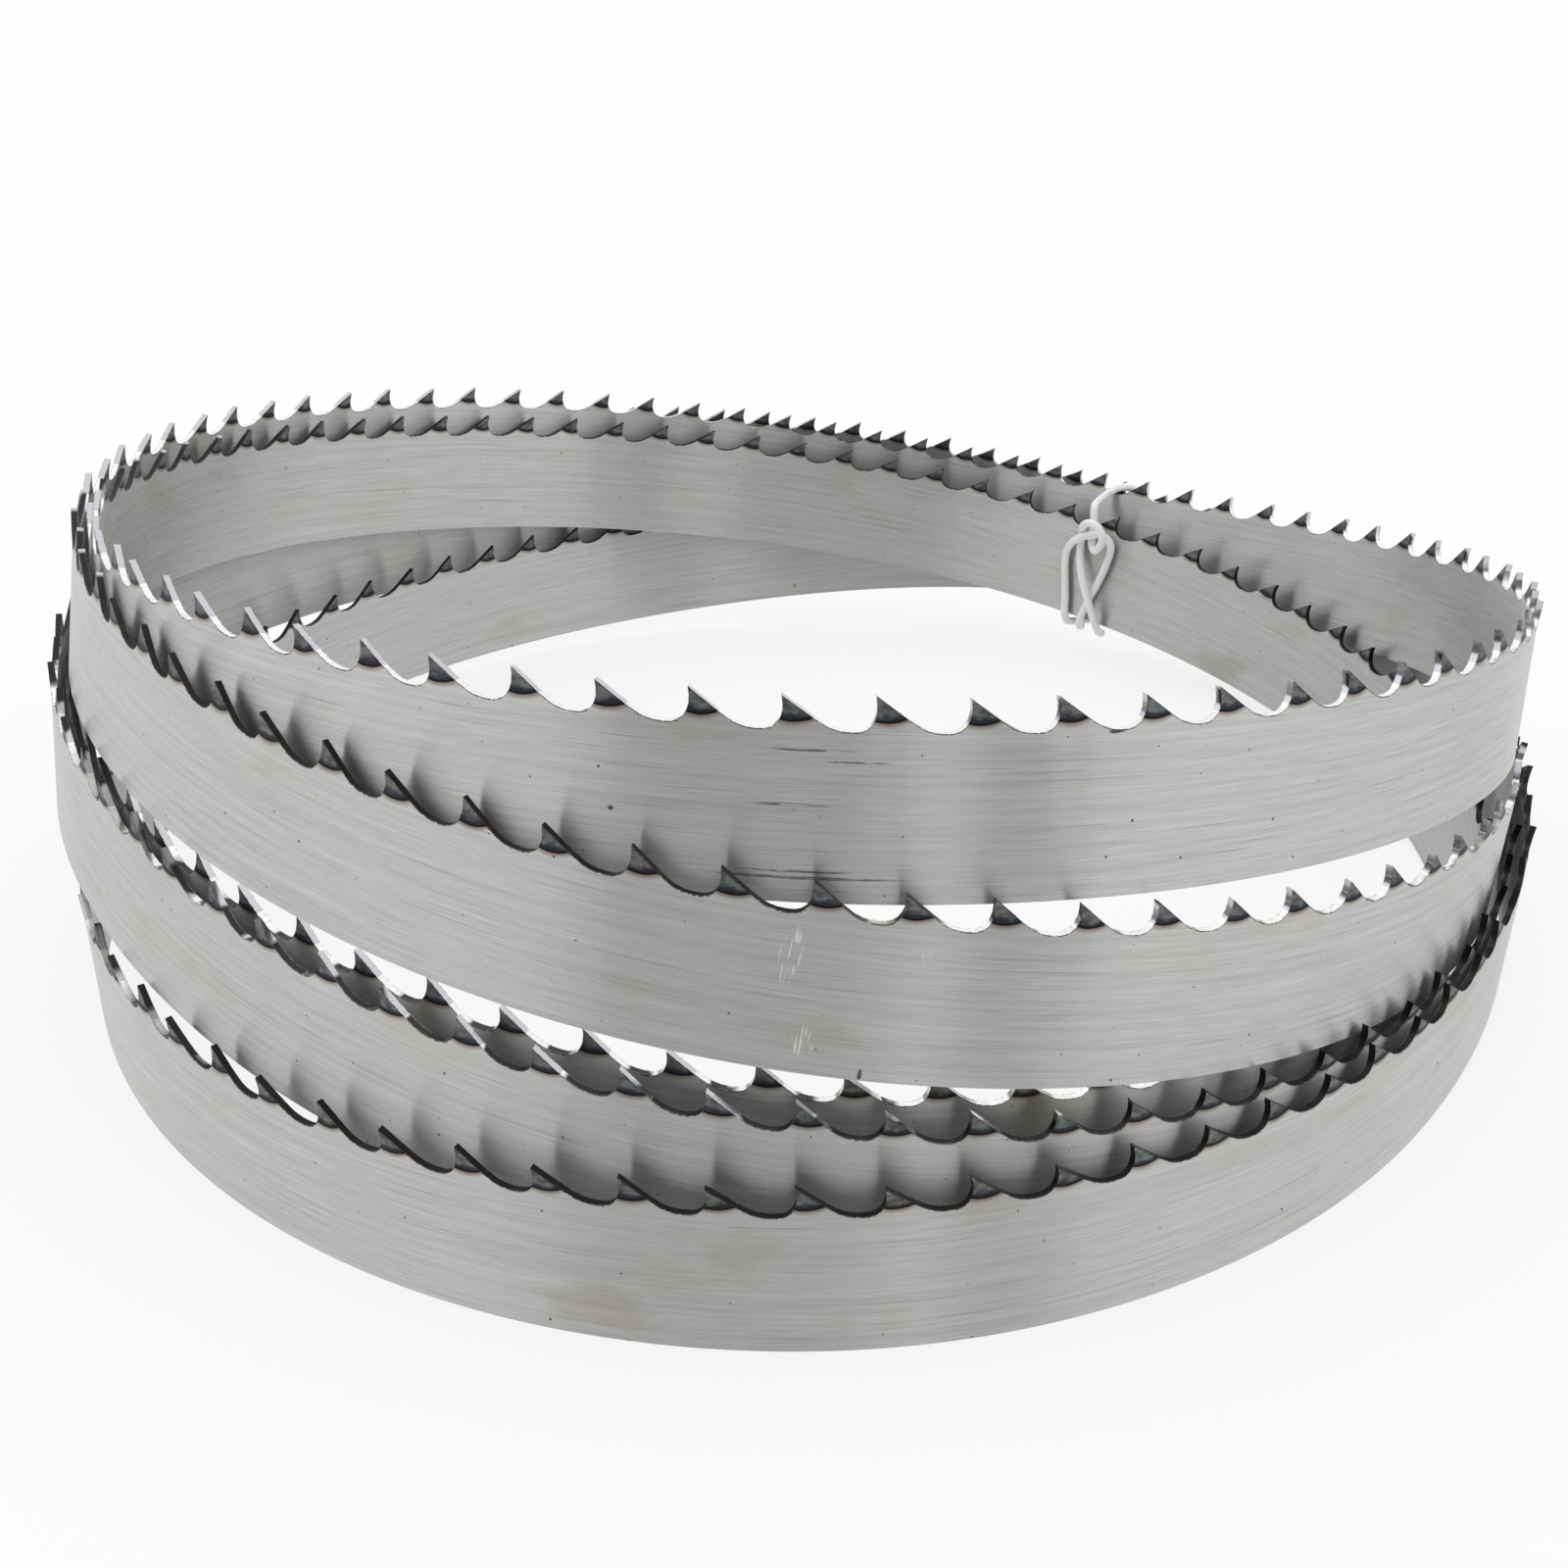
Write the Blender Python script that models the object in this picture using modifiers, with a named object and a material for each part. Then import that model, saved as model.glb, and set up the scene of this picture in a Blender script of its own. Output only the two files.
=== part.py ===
# Band saw blade: one endless toothed band folded into five loops, with a wire tie.
# Metres, +Z up. The lowest loop stands on the floor at z = 0, teeth up.
import bmesh
import bpy
import numpy as np

# The band
toothPitch = 0.008467       # three teeth to the inch
bandWidth = 0.0196          # tooth tip to back edge
bandThickness = 0.0008
gulletDepth = 0.0033
setWidth = 0.0003           # how far each tip leans out of the band's face, in turn

# Its folding
coilRadius = 0.100
sideGap = 0.00028           # least gap between two loops beside one another
restSpan = 0.00012          # back edges this near the floor are pressed flat on it
weldReach = 0.00005         # points this near each other become one

# The tie
wireRadius = 0.00074
touchGap = 0.0003           # kept clear between the wire and the band
strandGap = 0.00022         # kept clear where the wire crosses itself
tieBearing = 57.0           # degrees round the coil, from its right-hand end
tieLead = 1.0               # degrees from the top loop's gullet on to the knot
pathSteps = 2               # wire points to each step of its path

# One tooth, from tip to next tip: share of the pitch, share of the gullet's depth
toothTip = (0.0, 0.0)
backSlope = ((0.38, 0.68), (0.58, 0.94))
gulletFloor = (0.78, 1.0)
hookFace = ((0.94, 0.87), (1.02, 0.45))

# The route, at these bearings on every turn: the innermost turn's radius there as a
# share of coilRadius, then for each turn (layers out from the innermost, lift of the
# tips over those of the lowest loop in band widths). Each turn runs on into the next
# at the front left, where the loops cross, and the fifth into the first. The band's two
# ends are joined at the weld's bearing on the first turn.
weldBearing = 1.72
bearings = (-90.0, -40.0, 10.0, 54.0, 105.0, 160.0, 212.0)
innerShare = (1.023, 0.925, 0.897, 0.922, 0.963, 0.962, 0.950)
turns = (
    ((-1.8, 2.35), (0.2, 1.90), (2.1, 1.15), (3.1, 0.71), (1.5, 1.23), (1.2, 1.92), (1.3, 2.08)),
    ((1.0, 1.50), (1.3, 0.77), (2.6, 0.48), (3.7, 0.53), (2.1, 0.17), (1.5, 0.04), (5.3, 0.0)),
    ((4.0, 0.0), (2.8, 0.02), (4.4, 0.28), (5.9, 0.56), (4.4, 1.10), (4.6, 1.18), (4.2, 1.10)),
    ((2.4, 0.36), (1.8, 0.0), (3.4, 0.21), (4.9, 0.44), (3.3, 0.66), (3.8, 0.91), (3.0, 1.03)),
    ((0.0, 0.43), (0.0, 0.10), (0.0, 0.07), (0.0, 0.40), (0.0, 1.01), (0.0, 1.76), (0.0, 2.25)),
)

# The wire's path over the innermost loop's face: (along the band in pitches, below the
# tips in band widths, wire layers off the face). First the strand that starts at a free
# end, goes through the knot and down to the band's back edge, then the one that comes
# over the teeth, makes the knot's ring and ends below.
heldStrand = (
    (-0.20, 1.087, -1.4), (-0.22, 1.087, -0.7), (-0.24, 1.041, -0.1), (-0.25, 0.969, 0.0),
    (-0.34, 0.786, 0.0), (-0.44, 0.643, 0.0), (-0.52, 0.500, 0.0), (-0.57, 0.367, 0.0),
    (-0.57, 0.265, 0.0), (-0.47, 0.199, 0.2), (-0.31, 0.171, 0.6), (-0.11, 0.194, 1.0),
    (0.11, 0.253, 1.1), (0.27, 0.321, 0.7), (0.38, 0.418, 0.1), (0.37, 0.541, 0.0),
    (0.28, 0.694, 0.0), (0.19, 0.852, 0.0), (0.14, 0.980, 0.0), (0.09, 1.056, -0.3),
    (0.05, 1.082, -1.2),
)
knotStrand = (
    (0.0, -0.046, 0.0), (-0.04, 0.005, 0.3), (-0.08, 0.061, 0.3), (-0.09, 0.133, 0.1),
    (-0.09, 0.209, 0.0), (-0.13, 0.270, 0.2), (-0.22, 0.306, 0.7), (-0.34, 0.306, 1.3),
    (-0.46, 0.255, 1.9), (-0.51, 0.184, 2.0), (-0.46, 0.117, 2.0), (-0.34, 0.071, 2.0),
    (-0.19, 0.056, 2.0), (-0.04, 0.082, 1.8), (0.09, 0.148, 1.0), (0.14, 0.204, 0.1),
    (0.14, 0.270, 0.0), (0.11, 0.347, 0.0), (0.04, 0.439, 0.3), (-0.11, 0.561, 0.8),
    (-0.28, 0.684, 1.0), (-0.44, 0.796, 1.0), (-0.58, 0.908, 0.8), (-0.66, 1.005, 0.2),
    (-0.70, 1.071, -0.5), (-0.71, 1.092, -1.4),
)
# then under the bundle, (share of the way out, below the tips in band widths), and up
# the outermost loop's face, in band widths over its back edge
underSteps = ((0.45, 1.085), (0.78, 1.02))
outerShares = (0.0, 0.3, 0.6, 0.85)
# then how deep it lies in the gullets of the outermost loop and of the top loop, and its
# crest over the innermost: in pitches along from the knot, in gullet depths off the tips
sinks = (0.32, 0.55)
crestPlace = (0.04, 0.1)

fullTurn = 360.0
stepsPerDegree = 4
creaseAngle = 40.0          # edges that turn further stay sharp in the shading
topTurn = 0
outerTurn = 2
innerTurn = 4
layerStep = bandThickness + 2.0 * setWidth + sideGap


def clearScene():
    for item in list(bpy.data.objects):
        bpy.data.objects.remove(item, do_unlink=True)


def makeCollection(name):
    group = bpy.data.collections.new(name)
    bpy.context.scene.collection.children.link(group)
    return group


def makeMaterial(name, colour, metallic, roughness):
    material = bpy.data.materials.new(name)
    material.use_nodes = True
    shader = material.node_tree.nodes["Principled BSDF"]
    shader.inputs["Base Color"].default_value = colour
    shader.inputs["Metallic"].default_value = metallic
    shader.inputs["Roughness"].default_value = roughness
    return material


def closedSpline(places, values, period):
    # cubic curve through the values that joins up smoothly with itself
    count = len(places)
    x = np.append(places, places[0] + period)
    y = np.append(values, values[0])
    span = np.diff(x)
    slope = np.diff(y) / span
    system = np.zeros((count, count))
    rightSide = np.zeros(count)
    for i in range(count):
        system[i, i - 1] += span[i - 1]
        system[i, i] += 2.0 * (span[i - 1] + span[i])
        system[i, (i + 1) % count] += span[i]
        rightSide[i] = 6.0 * (slope[i] - slope[i - 1])
    bend = np.linalg.solve(system, rightSide)
    bend = np.append(bend, bend[0])

    def at(where):
        inside = (where - x[0]) % period + x[0]
        i = np.clip(np.searchsorted(x, inside, side="right") - 1, 0, count - 1)
        a = (x[i + 1] - inside) / span[i]
        b = 1.0 - a
        curve = ((a ** 3 - a) * bend[i] + (b ** 3 - b) * bend[i + 1]) * span[i] ** 2 / 6.0
        return a * y[i] + b * y[i + 1] + curve

    return at


def unit(rows):
    return rows / np.linalg.norm(rows, axis=1)[:, None]


class Route:
    # The line of the tooth tips, with the band's own upward and outward directions.
    def __init__(self):
        period = fullTurn * len(turns)
        knots = []
        radii = []
        heights = []
        for number, turn in enumerate(turns):
            for bearing, share, (layer, lift) in zip(bearings, innerShare, turn):
                knots.append(bearing + fullTurn * number)
                radii.append(coilRadius * share + layer * layerStep)
                heights.append(bandWidth * (1.0 + lift))
        self.degrees = weldBearing + np.arange(0.0, period, 1.0 / stepsPerDegree)
        radius = closedSpline(np.array(knots), np.array(radii), period)(self.degrees)
        height = closedSpline(np.array(knots), np.array(heights), period)(self.degrees)
        height = np.maximum(height, bandWidth)
        angle = np.radians(self.degrees)
        self.tips = np.stack([radius * np.cos(angle), radius * np.sin(angle), height], -1)
        ahead = np.roll(self.tips, -1, axis=0)
        behind = np.roll(self.tips, 1, axis=0)
        along = unit(ahead - behind)
        flat = unit(along * (1.0, 1.0, 0.0))
        self.outward = np.stack([flat[:, 1], -flat[:, 0], 0.0 * angle], -1)
        # A loop that climbs and falls leans in where it is above its own turn's middle.
        half = int(fullTurn * stepsPerDegree / 2)
        run = np.concatenate([height[-half:], height, height[:half]])
        sums = np.concatenate([[0.0], np.cumsum(run)])
        middle = (sums[2 * half:] - sums[:-2 * half])[:len(height)] / (2 * half)
        self.lean = (middle - height) / radius
        climb = along[:, 2] / np.linalg.norm(along[:, :2], axis=1)
        upright = np.zeros_like(flat) + (0.0, 0.0, 1.0)
        self.upward = unit(upright + self.outward * self.lean[:, None] - flat * climb[:, None])
        self.along = along
        steps = np.linalg.norm(ahead - self.tips, axis=1)
        self.length = steps.sum()
        self.travel = np.concatenate([[0.0], np.cumsum(steps)])

    def sample(self, rows, travel):
        closed = np.vstack([rows, rows[:1]])
        where = travel % self.length
        return np.array([np.interp(where, self.travel, closed[:, i]) for i in range(3)])

    def place(self, travel, height, bentOut):
        # a point of the band's middle surface, height above its back edge
        tip = self.sample(self.tips, travel)
        up = self.sample(self.upward, travel)
        out = self.sample(self.outward, travel)
        return tip - up * (bandWidth - height) + out * bentOut

    def frame(self, turn, bearing):
        # tip point, direction along, up and outward on a given turn
        index = int(round((bearing + fullTurn * turn - weldBearing) * stepsPerDegree))
        index %= len(self.degrees)
        return self.tips[index], self.along[index], self.upward[index], self.outward[index]


class Teeth:
    # how many teeth go round, and where they stand along the route
    def __init__(self, route):
        self.count = 2 * int(round(route.length / toothPitch / 2.0))
        self.pitch = route.length / self.count

    def travel(self, tooth, share):
        # the band starts and ends on a gullet's floor
        return (tooth + 1.0 - gulletFloor[0] + share) * self.pitch

    def gulletNear(self, route, turn, bearing):
        # where a gullet's middle comes nearest to a bearing
        middle = (backSlope[-1][0] + gulletFloor[0]) / 2.0
        wanted = np.interp(bearing + fullTurn * turn, route.degrees, route.travel[:-1])
        tooth = round((wanted - self.travel(0, middle)) / self.pitch)
        return self.travel(tooth, middle)


def routeGuide(route):
    # the tips' line as a curve, upright and leaning where the band leans
    curve = bpy.data.curves.new("route", "CURVE")
    curve.dimensions = "3D"
    curve.twist_mode = "Z_UP"
    curve.use_deform_bounds = False
    line = curve.splines.new("POLY")
    line.points.add(len(route.tips) - 1)
    line.use_cyclic_u = True
    for point, tip, lean in zip(line.points, route.tips, route.lean):
        point.co = (*tip, 1.0)
        point.tilt = lean
    guide = bpy.data.objects.new("route", curve)
    guide.hide_render = True
    guide.display_type = "WIRE"
    return guide


def toothPair(teeth):
    # two teeth's length of flat band with its tips on the x axis, set one to each side
    surface = bmesh.new()
    floorRow = []
    backRow = []
    for tooth in range(3):
        along = tooth * teeth.pitch
        floorRow.append(surface.verts.new((along, 0.0, -gulletDepth)))
        backRow.append(surface.verts.new((along, 0.0, -bandWidth)))
    behindTip = [(share - 1.0, depth) for share, depth in hookFace]
    for tooth, side in enumerate((setWidth, -setWidth)):
        crown = []
        for share, depth in behindTip + [toothTip] + list(backSlope):
            spot = (teeth.travel(tooth, share), side * (1.0 - depth), -depth * gulletDepth)
            crown.append(surface.verts.new(spot))
        surface.faces.new(backRow[tooth:tooth + 2] + floorRow[tooth:tooth + 2][::-1])
        surface.faces.new(floorRow[tooth:tooth + 2] + crown[::-1])
    mesh = bpy.data.meshes.new("blade")
    surface.to_mesh(mesh)
    surface.free()
    return mesh


def bandObject(route, teeth, group, material):
    # the pair of teeth repeated along the route, joined at the weld and given its thickness
    blade = bpy.data.objects.new("blade", toothPair(teeth))
    blade.data.materials.append(material)
    group.objects.link(blade)
    guide = routeGuide(route)
    group.objects.link(guide)
    repeat = blade.modifiers.new("repeat", "ARRAY")
    repeat.count = teeth.count // 2
    repeat.use_relative_offset = False
    repeat.use_constant_offset = True
    repeat.constant_offset_displace = (2.0 * teeth.pitch, 0.0, 0.0)
    repeat.use_merge_vertices = True
    repeat.merge_threshold = weldReach
    bend = blade.modifiers.new("bend", "CURVE")
    bend.object = guide
    bend.deform_axis = "POS_X"
    weld = blade.modifiers.new("weld", "WELD")
    weld.merge_threshold = weldReach
    thicken = blade.modifiers.new("thickness", "SOLIDIFY")
    thicken.thickness = bandThickness
    thicken.offset = 0.0
    thicken.use_even_offset = True
    applyModifiers(blade)
    bpy.data.objects.remove(guide)
    for vertex in blade.data.vertices:
        if vertex.co.z < restSpan:
            vertex.co.z = 0.0
    blade.data.shade_smooth()
    blade.data.set_sharp_from_angle(angle=np.radians(creaseAngle))
    print("teeth", teeth.count, "pitch", teeth.pitch, "length", route.length)
    return blade


def applyModifiers(item):
    # the evaluated shape becomes the object's own mesh
    graph = bpy.context.evaluated_depsgraph_get()
    shaped = bpy.data.meshes.new_from_object(item.evaluated_get(graph))
    item.modifiers.clear()
    item.data = shaped


class TieFrame:
    # the innermost loop's face at the tie: places along it, below its tips, and off it
    def __init__(self, route, teeth):
        topGullet = teeth.gulletNear(route, topTurn, tieBearing)
        bearing = np.interp(topGullet, route.travel[:-1], route.degrees) + tieLead
        self.tip, along, self.up, outward = route.frame(innerTurn, bearing)
        self.inward = np.cross(self.up, along)
        self.inward /= np.linalg.norm(self.inward)
        if np.dot(self.inward, outward) > 0.0:
            self.inward = -self.inward
        self.side = np.cross(self.inward, self.up)
        if np.dot(self.side, along) < 0.0:
            self.side = -self.side
        self.layer = bandThickness / 2.0 + touchGap + wireRadius

    def at(self, side, drop, off):
        return self.tip + self.side * side - self.up * drop + self.inward * off

    def onFace(self, side, drop, layers):
        # the face is hollow, so it comes forward to either side
        side *= toothPitch
        hollow = side ** 2 / (2.0 * np.linalg.norm(self.tip[:2]))
        off = self.layer + layers * (2.0 * wireRadius + strandGap) + hollow
        return self.at(side, drop * bandWidth, off)

    def under(self, outerBack, share, drop):
        # a place under the bundle, part of the way to the outermost loop's back edge
        reach = np.dot(outerBack - self.tip, self.inward)
        side = np.dot(outerBack - self.tip, self.side)
        return self.at(side * share, drop * bandWidth, reach * share)


def tiePath(route, teeth):
    # once round the bundle of loops, from free end to free end
    frame = TieFrame(route, teeth)
    outGullet = teeth.gulletNear(route, outerTurn, tieBearing - tieLead)
    topGullet = teeth.gulletNear(route, topTurn, tieBearing)
    outFace = frame.layer + setWidth
    pathway = [frame.onFace(*step) for step in heldStrand]
    outerBack = route.place(outGullet, 0.0, outFace)
    pathway += [frame.under(outerBack, *step) for step in underSteps]
    for share in outerShares:
        pathway.append(route.place(outGullet, share * bandWidth, outFace))
    for gullet, sink in zip((outGullet, topGullet), sinks):
        pathway.append(route.place(gullet, bandWidth - sink * gulletDepth, 0.0))
    above = wireRadius + touchGap + crestPlace[1] * gulletDepth
    pathway.append(frame.at(crestPlace[0] * toothPitch, -above, 0.0))
    pathway += [frame.onFace(*step) for step in knotStrand]
    return smoothed(pathway)


def smoothed(pathway):
    # a rounded line through the places given
    line = [pathway[0] * 2.0 - pathway[1]] + pathway + [pathway[-1] * 2.0 - pathway[-2]]
    points = []
    for i in range(1, len(line) - 2):
        before, here, there, after = line[i - 1:i + 3]
        for step in range(pathSteps):
            t = step / pathSteps
            bend = (before * 2.0 - here * 5.0 + there * 4.0 - after) * t ** 2
            turn = (here * 3.0 - before - there * 3.0 + after) * t ** 3
            points.append((here * 2.0 + (there - before) * t + bend + turn) / 2.0)
    return points + [pathway[-1]]


def tieObject(points, group, material):
    curve = bpy.data.curves.new("tie_wire", "CURVE")
    curve.dimensions = "3D"
    curve.bevel_depth = wireRadius
    curve.bevel_resolution = 2
    curve.use_fill_caps = True
    line = curve.splines.new("POLY")
    line.points.add(len(points) - 1)
    for place, point in zip(points, line.points):
        point.co = (*place, 1.0)
    curve.materials.append(material)
    tie = bpy.data.objects.new("tie_wire", curve)
    group.objects.link(tie)
    return tie


def main():
    clearScene()
    group = makeCollection("bandSawBlade")
    steel = makeMaterial("brushedSteel", (0.42, 0.39, 0.36, 1.0), 1.0, 0.32)
    plastic = makeMaterial("whitePlastic", (0.78, 0.77, 0.75, 1.0), 0.0, 0.45)
    route = Route()
    teeth = Teeth(route)
    blade = bandObject(route, teeth, group, steel)
    corners = np.array([vertex.co for vertex in blade.data.vertices])
    middle = (corners.min(axis=0) + corners.max(axis=0)) / 2.0
    middle[2] = 0.0
    for vertex in blade.data.vertices:
        vertex.co.x -= middle[0]
        vertex.co.y -= middle[1]
    tieObject([place - middle for place in tiePath(route, teeth)], group, plastic)
    print("middle", middle)


main()
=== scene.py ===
import math

import bmesh
import bpy
import numpy as np
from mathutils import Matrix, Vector
from mathutils.bvhtree import BVHTree


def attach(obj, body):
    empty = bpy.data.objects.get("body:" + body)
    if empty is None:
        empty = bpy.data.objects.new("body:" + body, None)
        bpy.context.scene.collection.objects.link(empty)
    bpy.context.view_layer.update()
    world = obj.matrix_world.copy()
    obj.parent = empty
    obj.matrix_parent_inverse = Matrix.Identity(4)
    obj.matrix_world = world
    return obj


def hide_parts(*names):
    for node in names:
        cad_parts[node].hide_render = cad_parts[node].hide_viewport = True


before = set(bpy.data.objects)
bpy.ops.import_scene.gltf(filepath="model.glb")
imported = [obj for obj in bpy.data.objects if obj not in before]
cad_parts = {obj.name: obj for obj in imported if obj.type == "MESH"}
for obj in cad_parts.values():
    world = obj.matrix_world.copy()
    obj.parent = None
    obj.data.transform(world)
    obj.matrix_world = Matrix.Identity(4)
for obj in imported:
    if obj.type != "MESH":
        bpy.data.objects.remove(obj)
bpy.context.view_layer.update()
print("frame loaded", list(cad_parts))


# Selecting and finishing

def deselectAll():
    for item in bpy.context.selected_objects:
        item.select_set(False)


def makeActive(item):
    deselectAll()
    item.select_set(True)
    bpy.context.view_layer.objects.active = item


def pickEdges(item, test):
    # in edit mode: selects only the edges whose two ends both pass the test
    bpy.ops.mesh.select_all(action="DESELECT")
    mesh = bmesh.from_edit_mesh(item.data)
    for edge in mesh.edges:
        if test(edge.verts[0].co) and test(edge.verts[1].co):
            edge.select_set(True)
    bmesh.update_edit_mesh(item.data)


def pickPoints(item, test):
    bpy.ops.mesh.select_all(action="DESELECT")
    mesh = bmesh.from_edit_mesh(item.data)
    for point in mesh.verts:
        if test(point.co):
            point.select_set(True)
    mesh.select_flush(True)
    bmesh.update_edit_mesh(item.data)


def applyAll(item):
    makeActive(item)
    for modifier in list(item.modifiers):
        bpy.ops.object.modifier_apply(modifier=modifier.name)


# Shader maths on sockets

class Wire:
    def __init__(self, tree, socket):
        self.tree = tree
        self.socket = socket

    def maths(self, operation, other=None, first=None):
        node = self.tree.nodes.new("ShaderNodeMath")
        node.operation = operation
        for index, value in enumerate((self if first is None else first, other)):
            if isinstance(value, Wire):
                self.tree.links.new(value.socket, node.inputs[index])
            elif value is not None:
                node.inputs[index].default_value = value
        return Wire(self.tree, node.outputs[0])

    def __add__(self, other):
        return self.maths("ADD", other)

    def __radd__(self, other):
        return self.maths("ADD", other)

    def __sub__(self, other):
        return self.maths("SUBTRACT", other)

    def __rsub__(self, other):
        return self.maths("SUBTRACT", self, first=other)

    def __mul__(self, other):
        return self.maths("MULTIPLY", other)

    def __rmul__(self, other):
        return self.maths("MULTIPLY", other)

    def __truediv__(self, other):
        return self.maths("DIVIDE", other)

    def fraction(self):
        return self.maths("FRACT")

    def size(self):
        return self.maths("ABSOLUTE")

    def above(self, start, end):
        # 0 below start, 1 beyond end, smooth between
        node = self.tree.nodes.new("ShaderNodeMapRange")
        node.interpolation_type = "SMOOTHSTEP"
        node.inputs["From Min"].default_value = start
        node.inputs["From Max"].default_value = end
        self.tree.links.new(self.socket, node.inputs["Value"])
        return Wire(self.tree, node.outputs["Result"])


class Finish:
    # one material (or the world) and its nodes
    def __init__(self, owner):
        owner.use_nodes = True
        self.tree = owner.node_tree
        self.owner = owner

    def add(self, kind, settings=None, output=0, **sockets):
        node = self.tree.nodes.new("ShaderNode" + kind)
        for name, value in (settings or {}).items():
            setattr(node, name, value)
        for name, value in sockets.items():
            self.feed(node.inputs[self.socketPlace(node, name)], value)
        return Wire(self.tree, node.outputs[output])

    def socketPlace(self, node, name):
        # input6 is the socket with that number, baseColor the one called Base Color
        if name.startswith("input"):
            return int(name[5:])
        spaced = "".join(" " + c if c.isupper() else c for c in name).strip()
        wanted = spaced.lower()
        for index, socket in enumerate(node.inputs):
            if socket.name.lower() == wanted and socket.enabled:
                return index
        raise KeyError(name)

    def feed(self, socket, value):
        if isinstance(value, Wire):
            self.tree.links.new(value.socket, socket)
        elif isinstance(value, tuple) and len(value) == 3 and len(socket.default_value) == 4:
            socket.default_value = (*value, 1.0)
        else:
            socket.default_value = value

    def mix(self, share, first, second):
        return self.add("Mix", {"data_type": "RGBA"}, 2, input0=share, input6=first, input7=second)

    def parts(self, vector):
        node = self.tree.nodes.new("ShaderNodeSeparateXYZ")
        self.tree.links.new(vector.socket, node.inputs[0])
        return [Wire(self.tree, out) for out in node.outputs]

    def join(self, x, y, z):
        return self.add("CombineXYZ", x=x, y=y, z=z)

    def noise(self, where, scale, detail=2.0, roughness=0.5):
        return self.add("TexNoise", vector=where, scale=scale, detail=detail, roughness=roughness)


def newFinish(name):
    return Finish(bpy.data.materials.new(name))


# The toothed band's course, the same as in the CAD model

bandCourse = {
    "radius": 0.100,
    "layer": 0.00168,
    "width": 0.0196,
    "pitch": 0.008467,
    "firstTip": 0.55,
    "stripStart": -0.25,
    "bearings": (-90.0, -40.0, 10.0, 54.0, 105.0, 160.0, 212.0),
    "shares": (1.023, 0.925, 0.897, 0.922, 0.963, 0.962, 0.950),
    "turns": (
        ((-1.8, 2.35), (0.2, 1.90), (2.1, 1.15), (3.1, 0.71), (1.5, 1.23), (1.2, 1.92), (1.3, 2.08)),
        ((1.0, 1.50), (1.3, 0.77), (2.6, 0.48), (3.7, 0.53), (2.1, 0.17), (1.5, 0.04), (5.3, 0.0)),
        ((4.0, 0.0), (2.8, 0.02), (4.4, 0.28), (5.9, 0.56), (4.4, 1.10), (4.6, 1.18), (4.2, 1.10)),
        ((2.4, 0.36), (1.8, 0.0), (3.4, 0.21), (4.9, 0.44), (3.3, 0.66), (3.8, 0.91), (3.0, 1.03)),
        ((0.0, 0.43), (0.0, 0.10), (0.0, 0.07), (0.0, 0.40), (0.0, 1.01), (0.0, 1.76), (0.0, 2.25)),
    ),
    "middle": (-0.00420522, -0.00222128),
    "stepsPerDegree": 4,
    "pointsPerTooth": 8,
}


def closedSpline(places, values, period):
    # smooth closed curve through values given at some places
    count = len(places)
    x = np.append(places, places[0] + period)
    y = np.append(values, values[0])
    span = np.diff(x)
    slope = np.diff(y) / span
    system = np.zeros((count, count))
    rightSide = np.zeros(count)
    for i in range(count):
        system[i, i - 1] += span[i - 1]
        system[i, i] += 2.0 * (span[i - 1] + span[i])
        system[i, (i + 1) % count] += span[i]
        rightSide[i] = 6.0 * (slope[i] - slope[i - 1])
    bend = np.linalg.solve(system, rightSide)
    bend = np.append(bend, bend[0])

    def at(where):
        inside = (where - x[0]) % period + x[0]
        i = np.clip(np.searchsorted(x, inside, side="right") - 1, 0, count - 1)
        a = (x[i + 1] - inside) / span[i]
        b = 1.0 - a
        curve = ((a ** 3 - a) * bend[i] + (b ** 3 - b) * bend[i + 1]) * span[i] ** 2 / 6.0
        return a * y[i] + b * y[i + 1] + curve

    return at


def bandRoute(course):
    # points of the tooth tips' line round the five turns, and how far the band leans there
    places, radii, heights = [], [], []
    for number, turn in enumerate(course["turns"]):
        for bearing, share, (layer, lift) in zip(course["bearings"], course["shares"], turn):
            places.append(bearing + 360.0 * number)
            radii.append(course["radius"] * share + layer * course["layer"])
            heights.append(course["width"] * (1.0 + lift))
    period = 360.0 * len(course["turns"])
    degrees = np.arange(0.0, period, 1.0 / course["stepsPerDegree"])
    radius = closedSpline(np.array(places), np.array(radii), period)(degrees)
    height = closedSpline(np.array(places), np.array(heights), period)(degrees)
    height = np.maximum(height, course["width"])
    angle = np.radians(degrees)
    tips = np.stack([radius * np.cos(angle), radius * np.sin(angle), height], -1)
    # the band leans by how far it stands below the mean height of the turn around it
    half = 180 * course["stepsPerDegree"]
    run = np.concatenate([height[-half:], height, height[:half]])
    sums = np.concatenate([[0.0], np.cumsum(run)])
    middle = (sums[2 * half:] - sums[:-2 * half])[:len(height)] / (2 * half)
    lean = (middle - height) / radius
    steps = np.linalg.norm(np.roll(tips, -1, axis=0) - tips, axis=1)
    travel = np.concatenate([[0.0], np.cumsum(steps)])
    teeth = 2 * int(round(travel[-1] / course["pitch"] / 2.0))
    pitch = travel[-1] / teeth
    wanted = (course["firstTip"] + course["stripStart"] + np.arange(teeth * course["pointsPerTooth"])
              / course["pointsPerTooth"]) * pitch
    wanted = wanted % travel[-1]
    closed = np.vstack([tips, tips[:1]])
    points = np.stack([np.interp(wanted, travel, closed[:, k]) for k in range(3)], -1)
    points[:, :2] -= course["middle"]
    leans = np.interp(wanted, travel, np.append(lean, lean[0]))
    return points, leans, teeth, pitch


routePoints, routeLeans, toothCount, toothPitch = bandRoute(bandCourse)
print("course", toothCount, "teeth, pitch", toothPitch)


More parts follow.
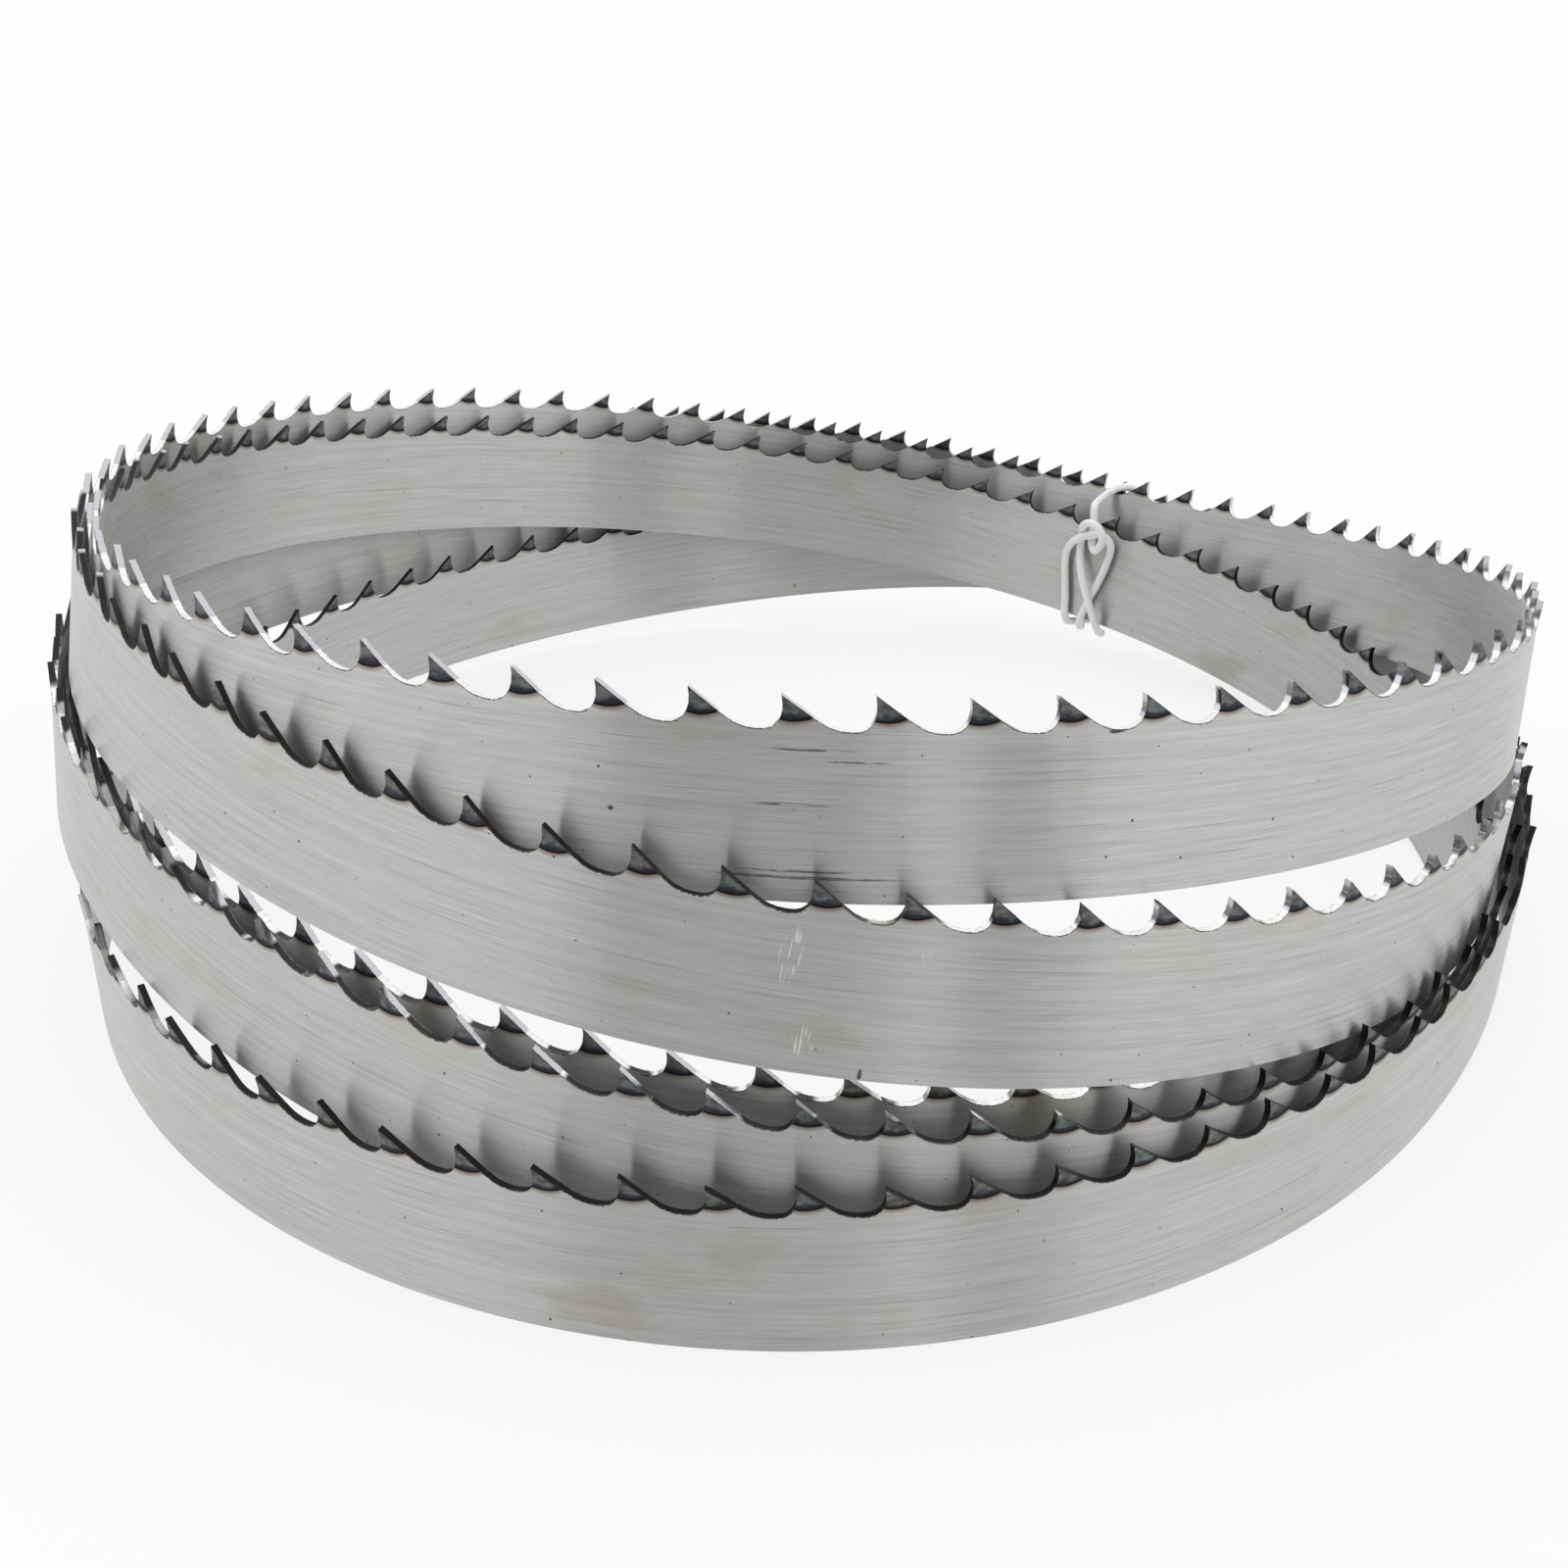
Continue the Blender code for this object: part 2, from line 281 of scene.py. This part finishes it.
def routeCurve(points, leans):
    curve = bpy.data.curves.new("bandCourse", "CURVE")
    curve.dimensions = "3D"
    curve.twist_mode = "Z_UP"
    curve.use_deform_bounds = False
    line = curve.splines.new("POLY")
    line.points.add(len(points) - 1)
    line.use_cyclic_u = True
    for point, place, lean in zip(line.points, points, leans):
        point.co = (*place, 1.0)
        point.tilt = lean
    item = bpy.data.objects.new("bandCourse", curve)
    bpy.context.scene.collection.objects.link(item)
    return item


# The steel's finishes

bandSteel = {
    "colour": (0.560, 0.560, 0.548),
    "roughness": 0.40,
    "anisotropic": 1.0,
    "capDepth": 0.295,
    "capRise": 0.055,
    "capMiddle": 0.13,
    "capReach": 0.22,
    "tipAt": 0.75,
    "capGrey": (0.165, 0.176, 0.178),
    "capGreyShades": (0.6, 1.25),
    "capDark": (0.030, 0.034, 0.046),
    "capRim": (0.006, 0.006, 0.010),
    "tipColour": (0.42, 0.41, 0.41),
    "haloColour": (0.17, 0.105, 0.06),
    "burrWidth": 0.16,
    "burrColour": (0.028, 0.022, 0.018),
    "grainShades": (0.85, 1.11),
    "scoredColour": (0.16, 0.14, 0.135),
    "brightColour": (0.86, 0.86, 0.84),
    "cloudColour": (0.40, 0.31, 0.24),
    "speckColour": (0.07, 0.045, 0.03),
    "crossColour": (0.95, 0.95, 0.93),
    "longColour": (0.09, 0.065, 0.06),
    "brushTurn": 0.25,
    "brushStrength": 0.16,
    "brushDepth": 0.00003,
    # marks of use: place along and down the band, then how far they reach, in pitches, and
    # for stains how strong they are and their colour
    "crossScratches": ((54.13, 0.90, 0.15, 0.42), (54.43, 1.90, 0.15, 0.22), (55.60, 0.70, 0.06, 0.16)),
    "longScratches": ((349.40, 1.21, 0.55, 0.022), (349.60, 2.03, 1.25, 0.024), (349.55, 1.96, 0.90, 0.016),
                      (349.60, 0.60, 0.55, 0.018), (350.10, 0.72, 0.45, 0.014)),
    "stains": (
        (91.54, 2.067, 0.075, 0.085, 0.85, (0.20, 0.14, 0.07)),
        (91.20, 2.12, 0.02, 0.02, 0.9, (0.03, 0.03, 0.03)),
        (126.00, 1.90, 0.90, 0.45, 0.22, (0.36, 0.27, 0.21)),
        (127.70, 0.95, 0.60, 0.50, 0.22, (0.40, 0.33, 0.28)),
        (347.46, 1.416, 0.040, 0.034, 0.9, (0.08, 0.045, 0.03)),
        (55.114, 2.225, 0.030, 0.090, 0.85, (0.07, 0.055, 0.045)),
        (352.95, 0.405, 0.14, 0.035, 0.9, (0.03, 0.025, 0.02)),
        (304.10, 2.05, 0.90, 0.50, 0.40, (0.33, 0.32, 0.30)),
    ),
}


def toothPlace(finish, width, pitch):
    # places on the band: along and down from the tips' line, both in tooth pitches
    along, up, _ = finish.parts(finish.add("UVMap", {"uv_map": "alongBand"}))
    return along * 2.0, (1.0 - up) * (width / pitch)


def capMask(finish, values, along, depth):
    # how deep inside the hardened cap of the nearest tooth a place lies
    share = (along - values["tipAt"]).fraction() - 0.5
    wobble = finish.noise(finish.join(along, 0.0, 0.0), 1.3, 2.0) - 0.5
    away = (share - values["capMiddle"]) / values["capReach"]
    limit = values["capDepth"] - away * away * values["capRise"] + wobble * 0.05
    return limit - depth


def shades(colour, factors):
    return [tuple(part * factor for part in colour) for factor in factors]


def spot(along, depth, place, down, long, high, ragged=0.0):
    # 1 in the middle of an oval, falling to 0 at its border
    across, below = (along - place) / long, (depth - down) / high
    return 1.0 - (across * across + below * below + ragged).above(0.25, 1.0)


def steelFinish(values, width, pitch):
    finish = newFinish("brushedBandSteel")
    shader = finish.tree.nodes["Principled BSDF"]
    along, depth = toothPlace(finish, width, pitch)
    inside = capMask(finish, values, along, depth)
    inCap = inside.above(-0.006, 0.006)
    # brushing: broad bands, fine lines, and a few long scratches
    broad = finish.noise(finish.join(along * 0.22, depth * 13.0, 0.0), 1.0, 3.0, 0.6)
    lines = finish.noise(finish.join(along * 0.9, depth * 90.0, 3.0), 1.0, 2.0, 0.6)
    short = finish.noise(finish.join(along * 2.6, depth * 150.0, 7.0), 1.0, 1.0, 0.6)
    scored = finish.noise(finish.join(along * 0.45, depth * 60.0, 11.0), 1.0, 1.0, 0.4).above(0.66, 0.73)
    bright = finish.noise(finish.join(along * 0.8, depth * 75.0, 17.0), 1.0, 1.0, 0.4).above(0.67, 0.74)
    cloud = finish.noise(finish.join(along * 0.35, depth * 0.9, 23.0), 1.0, 3.0, 0.55)
    grain = broad * 0.35 + lines * 0.40 + short * 0.25
    base = finish.mix(grain.above(0.36, 0.64), *shades(values["colour"], values["grainShades"]))
    base = finish.mix(scored * 0.45, base, values["scoredColour"])
    base = finish.mix(bright * 0.35, base, values["brightColour"])
    base = finish.mix(cloud.above(0.58, 0.75) * 0.22, base, values["cloudColour"])
    # specks of dirt
    speckCell = finish.add("TexVoronoi", {"voronoi_dimensions": "2D", "feature": "F1"}, 0,
                           vector=finish.join(along, depth, 0.0), scale=1.25)
    speckSize = finish.noise(finish.join(along, depth, 5.0), 2.0, 0.0)
    speck = (speckSize * 0.047 - speckCell - 0.010).above(0.0, 0.006)
    base = finish.mix(speck * 0.8, base, values["speckColour"])
    # marks of use
    torn = finish.noise(finish.join(along * 38.0, depth * 2.6, 51.0), 1.0, 1.0).above(0.54, 0.61)
    for place in values["crossScratches"]:
        base = finish.mix(spot(along, depth, *place) * torn * 0.8, base, values["crossColour"])
    ragged = finish.noise(finish.join(along * 3.5, depth * 40.0, 57.0), 1.0, 2.0).above(0.40, 0.52)
    for place in values["longScratches"]:
        base = finish.mix(spot(along, depth, *place) * ragged * 0.75, base, values["longColour"])
    uneven = (finish.noise(finish.join(along * 1.6, depth * 2.4, 61.0), 1.0, 4.0, 0.65) - 0.45) * 3.0
    for *place, strength, shade in values["stains"]:
        base = finish.mix(spot(along, depth, *place, uneven) * strength, base, shade)
    # brown heat halo under each hardened cap
    halo = inside.above(-0.075, 0.01)
    base = finish.mix(halo * 0.8, base, values["haloColour"])
    # the cap: grey at the tip, darker down to a near black curved rim
    fade = finish.noise(finish.join(along * 5.0, depth * 9.0, 31.0), 1.6, 3.0)
    dark = (inside + (fade - 0.5) * 0.12).above(0.04, 0.12)
    mottled = finish.mix(fade.above(0.35, 0.65), *shades(values["capGrey"], values["capGreyShades"]))
    cap = finish.mix(dark, values["capDark"], mottled)
    cap = finish.mix((1.0 - depth.above(0.015, 0.085)) * fade.above(0.45, 0.62) * 0.7, cap,
                     values["tipColour"])
    rim = 1.0 - inside.above(0.012, 0.04)
    cap = finish.mix(rim, cap, values["capRim"])
    colour = finish.mix(inCap, base, cap)
    # a broken dark burr line along the toothed edge
    fromEdge = finish.add("Attribute", {"attribute_name": "fromEdge"}, "Fac")
    broken = finish.noise(finish.join(along * 22.0, depth * 6.0, 41.0), 1.0, 1.0)
    burr = (1.0 - fromEdge.above(values["burrWidth"] * 0.5, values["burrWidth"])) * broken.above(0.36, 0.46)
    colour = finish.mix(burr * 0.85, colour, values["burrColour"])
    finish.feed(shader.inputs["Base Color"], colour)
    finish.feed(shader.inputs["Metallic"], 1.0 - inCap * 0.3)
    finish.feed(shader.inputs["Roughness"],
                values["roughness"] + (grain - 0.5) * 0.08 + inCap * 0.14 + speck * 0.3)
    shader.inputs["Anisotropic"].default_value = values["anisotropic"]
    shader.inputs["Anisotropic Rotation"].default_value = values["brushTurn"]
    bump = finish.add("Bump", strength=values["brushStrength"], distance=values["brushDepth"],
                      height=lines * 0.6 + short * 0.4)
    finish.feed(shader.inputs["Normal"], bump)
    return finish.owner


groundEdge = {
    "colour": (0.93, 0.93, 0.92),
    "wornColour": (0.62, 0.61, 0.58),
    "hardColour": (0.52, 0.53, 0.57),
    "burrColour": (0.06, 0.05, 0.045),
    "backColour": (0.30, 0.27, 0.23),
    # painted shade for the rims where the next loop stands close
    "shadeNearLoop": (0.030, 0.024, 0.022),
    "roughness": 0.10,
}


def groundFinish(values, steel, width, pitch):
    # the rims: ground gullets, greyer near the tips, with burrs along both borders, and painted shade where
    # the next loop stands close
    finish = newFinish("groundEdge")
    shader = finish.tree.nodes["Principled BSDF"]
    along, depth = toothPlace(finish, width, pitch)
    inside = capMask(finish, steel, along, depth)
    lines = finish.noise(finish.join(along * 16.0, depth * 30.0, 0.0), 1.0, 3.0)
    across = finish.add("Attribute", {"attribute_name": "acrossBand"}, "Fac").size()
    broken = finish.noise(finish.join(along * 20.0, depth * 20.0, 9.0), 1.0, 1.0)
    burr = across.above(0.78, 0.95) * broken.above(0.47, 0.56)
    back = depth.above(2.0, 2.1)
    closed = finish.add("Attribute", {"attribute_name": "closeBy"}, "Fac").above(0.15, 0.6)
    colour = finish.mix(lines.above(0.35, 0.7) * 0.35, values["colour"], values["wornColour"])
    colour = finish.mix(inside.above(-0.004, 0.004) * 0.85, colour, values["hardColour"])
    colour = finish.mix(burr * 0.8, colour, values["burrColour"])
    colour = finish.mix(back * 0.6, colour, values["backColour"])
    # painted shade where the next loop stands close, left out in broken patches along the borders
    unshadedBorder = across.above(0.84, 0.93) * broken.above(0.30, 0.55)
    shadeNearLoop = closed * (1.0 - unshadedBorder * 0.6) * (1.0 - back)
    colour = finish.mix(shadeNearLoop * 0.97, colour, values["shadeNearLoop"])
    finish.feed(shader.inputs["Base Color"], colour)
    shader.inputs["Metallic"].default_value = 1.0
    finish.feed(shader.inputs["Roughness"],
                values["roughness"] + lines * 0.12 + burr * 0.3 + shadeNearLoop * 0.25)
    return finish.owner


# The blade: one pair of teeth, set left and right, repeated along the course

toothedBand = {
    "thickness": 0.0008,
    "gullet": 0.0033,
    "setOut": 0.0003,
    "shoulder": 0.0007,
    "raised": 0.002,
    "firstShare": -0.25,
    # from one tooth to the next: place in pitches, depth in gullets
    "profile": (
        (-0.25, 1.0), (-0.16, 0.99), (-0.09, 0.93), (-0.035, 0.81), (0.0, 0.64), (0.018, 0.45),
        (0.015, 0.22), (0.0, 0.0), (0.12, 0.214), (0.24, 0.428), (0.36, 0.644), (0.44, 0.77),
        (0.50, 0.863), (0.58, 0.94), (0.66, 0.985), (0.75, 1.0),
    ),
    "joinTeeth": 1e-5,
    "joinPoints": 1e-4,
    "smoothUnder": 30.0,
    # rays that look for the next loop: slopes in degrees, reach, and where they start
    "lookUp": (0.0, 12.0, 25.0),
    "lookFar": 0.010,
    "clearOf": 0.00085,
    "startUp": 0.0002,
}


def toothPair(values, width, pitch):
    # a strip of the band two teeth long, standing in the x-z plane with its tips at z = 0
    columns = len(values["profile"]) - 1
    bpy.ops.mesh.primitive_grid_add(x_subdivisions=2 * columns, y_subdivisions=1, size=2.0,
                                    rotation=(math.pi / 2.0, 0.0, 0.0))
    pair = bpy.context.object
    pair.name = "bladeBand"
    bpy.ops.object.transform_apply(location=True, rotation=True, scale=True)
    shoulderLine = -values["gullet"] - values["shoulder"]
    bpy.ops.object.mode_set(mode="EDIT")
    bpy.ops.mesh.select_all(action="SELECT")
    bpy.ops.transform.resize(value=(pitch, 1.0, (width + shoulderLine) / 2.0))
    bpy.ops.transform.translate(value=(pitch, 0.0, (shoulderLine - width) / 2.0))
    pickEdges(pair, lambda co: co.z > shoulderLine - 1e-5)
    bpy.ops.mesh.extrude_region_move(TRANSFORM_OT_translate={"value": (0.0, 0.0, values["raised"])})
    bpy.ops.object.mode_set(mode="OBJECT")
    places = sorted({round(v.co.x, 7) for v in pair.data.vertices})
    bpy.ops.object.mode_set(mode="EDIT")
    for number, x in enumerate(places):
        tooth, column = divmod(number, columns)
        if tooth == 2:
            tooth, column = 1, columns
        share, depth = values["profile"][column]
        side = values["setOut"] * (1.0 - depth) * (-1.0 if tooth else 1.0)
        pickPoints(pair, lambda co: abs(co.x - x) < 1e-6 and co.z > shoulderLine + values["raised"] / 2.0)
        toX = (tooth + share - values["firstShare"]) * pitch
        toZ = -depth * values["gullet"]
        bpy.ops.transform.translate(value=(toX - x, side, toZ - shoulderLine - values["raised"]))
    bpy.ops.object.mode_set(mode="OBJECT")
    layer = pair.data.uv_layers.active
    layer.name = "alongBand"
    for loop in pair.data.loops:
        co = pair.data.vertices[loop.vertex_index].co
        layer.data[loop.index].uv = (co.x / (2.0 * pitch), 1.0 + co.z / width)
    # how far a point of the face lies from the toothed edge, in millimetres
    reach = {}
    for edge in pair.data.edges:
        ends = sorted((pair.data.vertices[i] for i in edge.vertices), key=lambda v: v.co.z)
        if abs(ends[0].co.z - shoulderLine) < 1e-6 and ends[1].co.z > shoulderLine + 1e-6:
            reach[ends[0].index] = (ends[1].co - ends[0].co).length * 1000.0
    fromEdge = pair.data.attributes.new("fromEdge", "FLOAT", "POINT")
    for point in pair.data.vertices:
        low = point.co.z < shoulderLine - 1e-6
        fromEdge.data[point.index].value = width * 1000.0 if low else reach.get(point.index, 0.0)
    return pair


def markCloseBy(band, values):
    # how much of a point's view to one side another part of the band closes off; it steers the painted
    # shade on the rims
    mesh = band.data
    places = [point.co.copy() for point in mesh.vertices]
    tree = BVHTree.FromPolygons(places, [tuple(face.vertices) for face in mesh.polygons])
    slopes = [math.radians(degrees) for degrees in values["lookUp"]]
    layer = mesh.attributes.new("closeBy", "FLOAT", "POINT")
    for index, place in enumerate(places):
        outward = Vector((place.x, place.y, 0.0)).normalized()
        most = 0
        for side in (outward, -outward):
            start = place + side * values["clearOf"] + Vector((0.0, 0.0, values["startUp"]))
            hits = 0
            for slope in slopes:
                ray = side * math.cos(slope) + Vector((0.0, 0.0, math.sin(slope)))
                hits += tree.ray_cast(start, ray, values["lookFar"])[0] is not None
            most = max(most, hits)
        layer.data[index].value = most / len(slopes)


def buildBand(values, course, points, leans, teeth, pitch, finishes):
    deselectAll()
    path = routeCurve(points, leans)
    band = toothPair(values, course["width"], pitch)
    repeat = band.modifiers.new("repeat", "ARRAY")
    repeat.count = teeth // 2
    repeat.use_relative_offset = False
    repeat.use_constant_offset = True
    repeat.constant_offset_displace = (2.0 * pitch, 0.0, 0.0)
    repeat.use_merge_vertices = True
    repeat.merge_threshold = values["joinTeeth"]
    repeat.offset_u = 1.0
    bend = band.modifiers.new("bend", "CURVE")
    bend.object = path
    bend.deform_axis = "POS_X"
    applyAll(band)
    bpy.ops.object.mode_set(mode="EDIT")
    bpy.ops.mesh.select_all(action="SELECT")
    bpy.ops.mesh.remove_doubles(threshold=values["joinPoints"])
    bpy.ops.object.mode_set(mode="OBJECT")
    bpy.data.objects.remove(path)
    band.data.materials.clear()
    for finish in finishes:
        band.data.materials.append(finish)
    thick = band.modifiers.new("thick", "SOLIDIFY")
    thick.thickness = values["thickness"]
    thick.offset = 0.0
    thick.use_even_offset = True
    thick.material_offset_rim = 1
    applyAll(band)
    # which of the band's two faces a point lies on: rims run from one to the other
    across = band.data.attributes.new("acrossBand", "FLOAT", "POINT")
    half = len(band.data.vertices) // 2
    for point in band.data.vertices:
        across.data[point.index].value = 1.0 if point.index < half else -1.0
    markCloseBy(band, values)
    bpy.ops.object.shade_smooth_by_angle(angle=math.radians(values["smoothUnder"]))
    return band


steelFinishes = (steelFinish(bandSteel, bandCourse["width"], toothPitch),
                 groundFinish(groundEdge, bandSteel, bandCourse["width"], toothPitch))
bladeBand = buildBand(toothedBand, bandCourse, routePoints, routeLeans, toothCount, toothPitch,
                      steelFinishes)
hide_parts("blade")
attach(bladeBand, "root")
print("blade band", len(bladeBand.data.polygons), "faces")


# The tie, rounded from the CAD model's wire

wireTie = {
    "weld": 1e-5,
    "joinUnder": 60.0,
    "finer": 2,
    "colours": ((0.92, 0.92, 0.915), (0.97, 0.97, 0.965)),
    "roughness": 0.35,
    "mottleScale": 900.0,
    "mottleStrength": 0.1,
    "mottleDepth": 0.00005,
}


def buildTie(values):
    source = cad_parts["tie_wire"]
    deselectAll()
    tie = source.copy()
    tie.data = source.data.copy()
    tie.name = "tieWire"
    for key in list(tie.keys()):
        del tie[key]
    tie.parent = None
    bpy.context.scene.collection.objects.link(tie)
    makeActive(tie)
    bpy.ops.object.mode_set(mode="EDIT")
    bpy.ops.mesh.select_all(action="SELECT")
    bpy.ops.mesh.remove_doubles(threshold=values["weld"])
    joinUnder = math.radians(values["joinUnder"])
    bpy.ops.mesh.tris_convert_to_quads(face_threshold=joinUnder, shape_threshold=joinUnder)
    bpy.ops.object.mode_set(mode="OBJECT")
    finer = tie.modifiers.new("finer", "SUBSURF")
    finer.levels = values["finer"]
    finer.render_levels = values["finer"]
    applyAll(tie)
    bpy.ops.object.shade_smooth()
    return tie


tieWire = buildTie(wireTie)
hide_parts("tie_wire")
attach(tieWire, "root")
print("tie", len(tieWire.data.polygons), "faces")


# The tie's white coat

def coatFinish(values):
    finish = newFinish("softWhiteCoat")
    shader = finish.tree.nodes["Principled BSDF"]
    mottle = finish.noise(finish.add("TexCoord", output="Object"), values["mottleScale"], 3.0)
    colour = finish.mix(mottle.above(0.3, 0.7), *values["colours"])
    finish.feed(shader.inputs["Base Color"], colour)
    finish.feed(shader.inputs["Roughness"], values["roughness"] + mottle * 0.15)
    bump = finish.add("Bump", strength=values["mottleStrength"], distance=values["mottleDepth"],
                      height=mottle)
    finish.feed(shader.inputs["Normal"], bump)
    return finish.owner


tieWire.data.materials.clear()
tieWire.data.materials.append(coatFinish(wireTie))
print("tie's finish made")


# Floor, light and camera

studio = {
    "floorColour": (0.93, 0.93, 0.92),
    "floorRadius": 4.0,
    "floorPoints": 96,
    "floorBelow": 0.00002,
    "floorRoughness": 0.9,
    "whiteShare": 0.75,
    "roomColour": (1.0, 1.0, 1.0),
    "topColour": (1.08, 1.08, 1.08),
    "topRise": (30.0, 60.0),
    # a soft box at each side and two grey screens behind the camera: bearings from the front
    # in degrees, from and to, how soft the edges are, then the colour
    "walls": (
        (-125.0, -50.0, 6.0, (1.25, 1.25, 1.25)),
        (-35.0, 13.0, 4.0, (0.20, 0.20, 0.20)),
        (25.0, 40.0, 3.0, (0.20, 0.20, 0.20)),
        (46.0, 110.0, 5.0, (1.30, 1.30, 1.30)),
    ),
    "cameraPlace": (-0.0018910, -0.2653359, 0.1344560),
    "cameraDown": 24.72,
    "lens": 46.755,
    "sensorWidth": 36.0,
    "clipStart": 0.01,
}


def buildFloor(values):
    deselectAll()
    bpy.ops.mesh.primitive_circle_add(vertices=values["floorPoints"], radius=values["floorRadius"],
                                      fill_type="NGON", location=(0.0, 0.0, -values["floorBelow"]))
    floor = bpy.context.object
    floor.name = "floor"
    finish = newFinish("paleFloor")
    shader = finish.tree.nodes["Principled BSDF"]
    shader.inputs["Base Color"].default_value = (*values["floorColour"], 1.0)
    shader.inputs["Roughness"].default_value = values["floorRoughness"]
    # camera and metal see the same pale floor, with the object's shadow on it
    paper = Wire(finish.tree, shader.outputs[0])
    white = finish.add("Emission", color=(1.0, 1.0, 1.0), strength=1.0)
    seen = (finish.add("LightPath", output="Is Camera Ray")
            + finish.add("LightPath", output="Is Glossy Ray"))
    both = finish.add("MixShader", input0=seen * values["whiteShare"], input1=paper, input2=white)
    finish.feed(finish.tree.nodes["Material Output"].inputs["Surface"], both)
    floor.data.materials.append(finish.owner)


def buildWorld(values):
    # a pale room, the same for the camera, the steel and the floor
    world = bpy.data.worlds.new("studio")
    bpy.context.scene.world = world
    finish = Finish(world)
    x, y, z = finish.parts(finish.add("TexCoord"))
    bearing = x.maths("ARCTAN2", y * -1.0) * (180.0 / math.pi)
    rise = z.maths("ARCSINE") * (180.0 / math.pi)
    colour = values["roomColour"]
    for start, end, soft, shade in values["walls"]:
        wall = bearing.above(start - soft, start + soft) * (1.0 - bearing.above(end - soft, end + soft))
        colour = finish.mix(wall, colour, shade)
    colour = finish.mix(rise.above(*values["topRise"]), colour, values["topColour"])
    finish.feed(finish.tree.nodes["Background"].inputs["Color"], colour)


def buildCamera(values):
    data = bpy.data.cameras.new("camera")
    data.lens = values["lens"]
    data.sensor_width = values["sensorWidth"]
    data.clip_start = values["clipStart"]
    camera = bpy.data.objects.new("camera", data)
    camera.location = values["cameraPlace"]
    camera.rotation_euler = (math.radians(90.0 - values["cameraDown"]), 0.0, 0.0)
    bpy.context.scene.collection.objects.link(camera)
    bpy.context.scene.camera = camera


buildFloor(studio)
buildWorld(studio)
buildCamera(studio)
bpy.context.scene.view_settings.view_transform = "Standard"
print("studio ready")
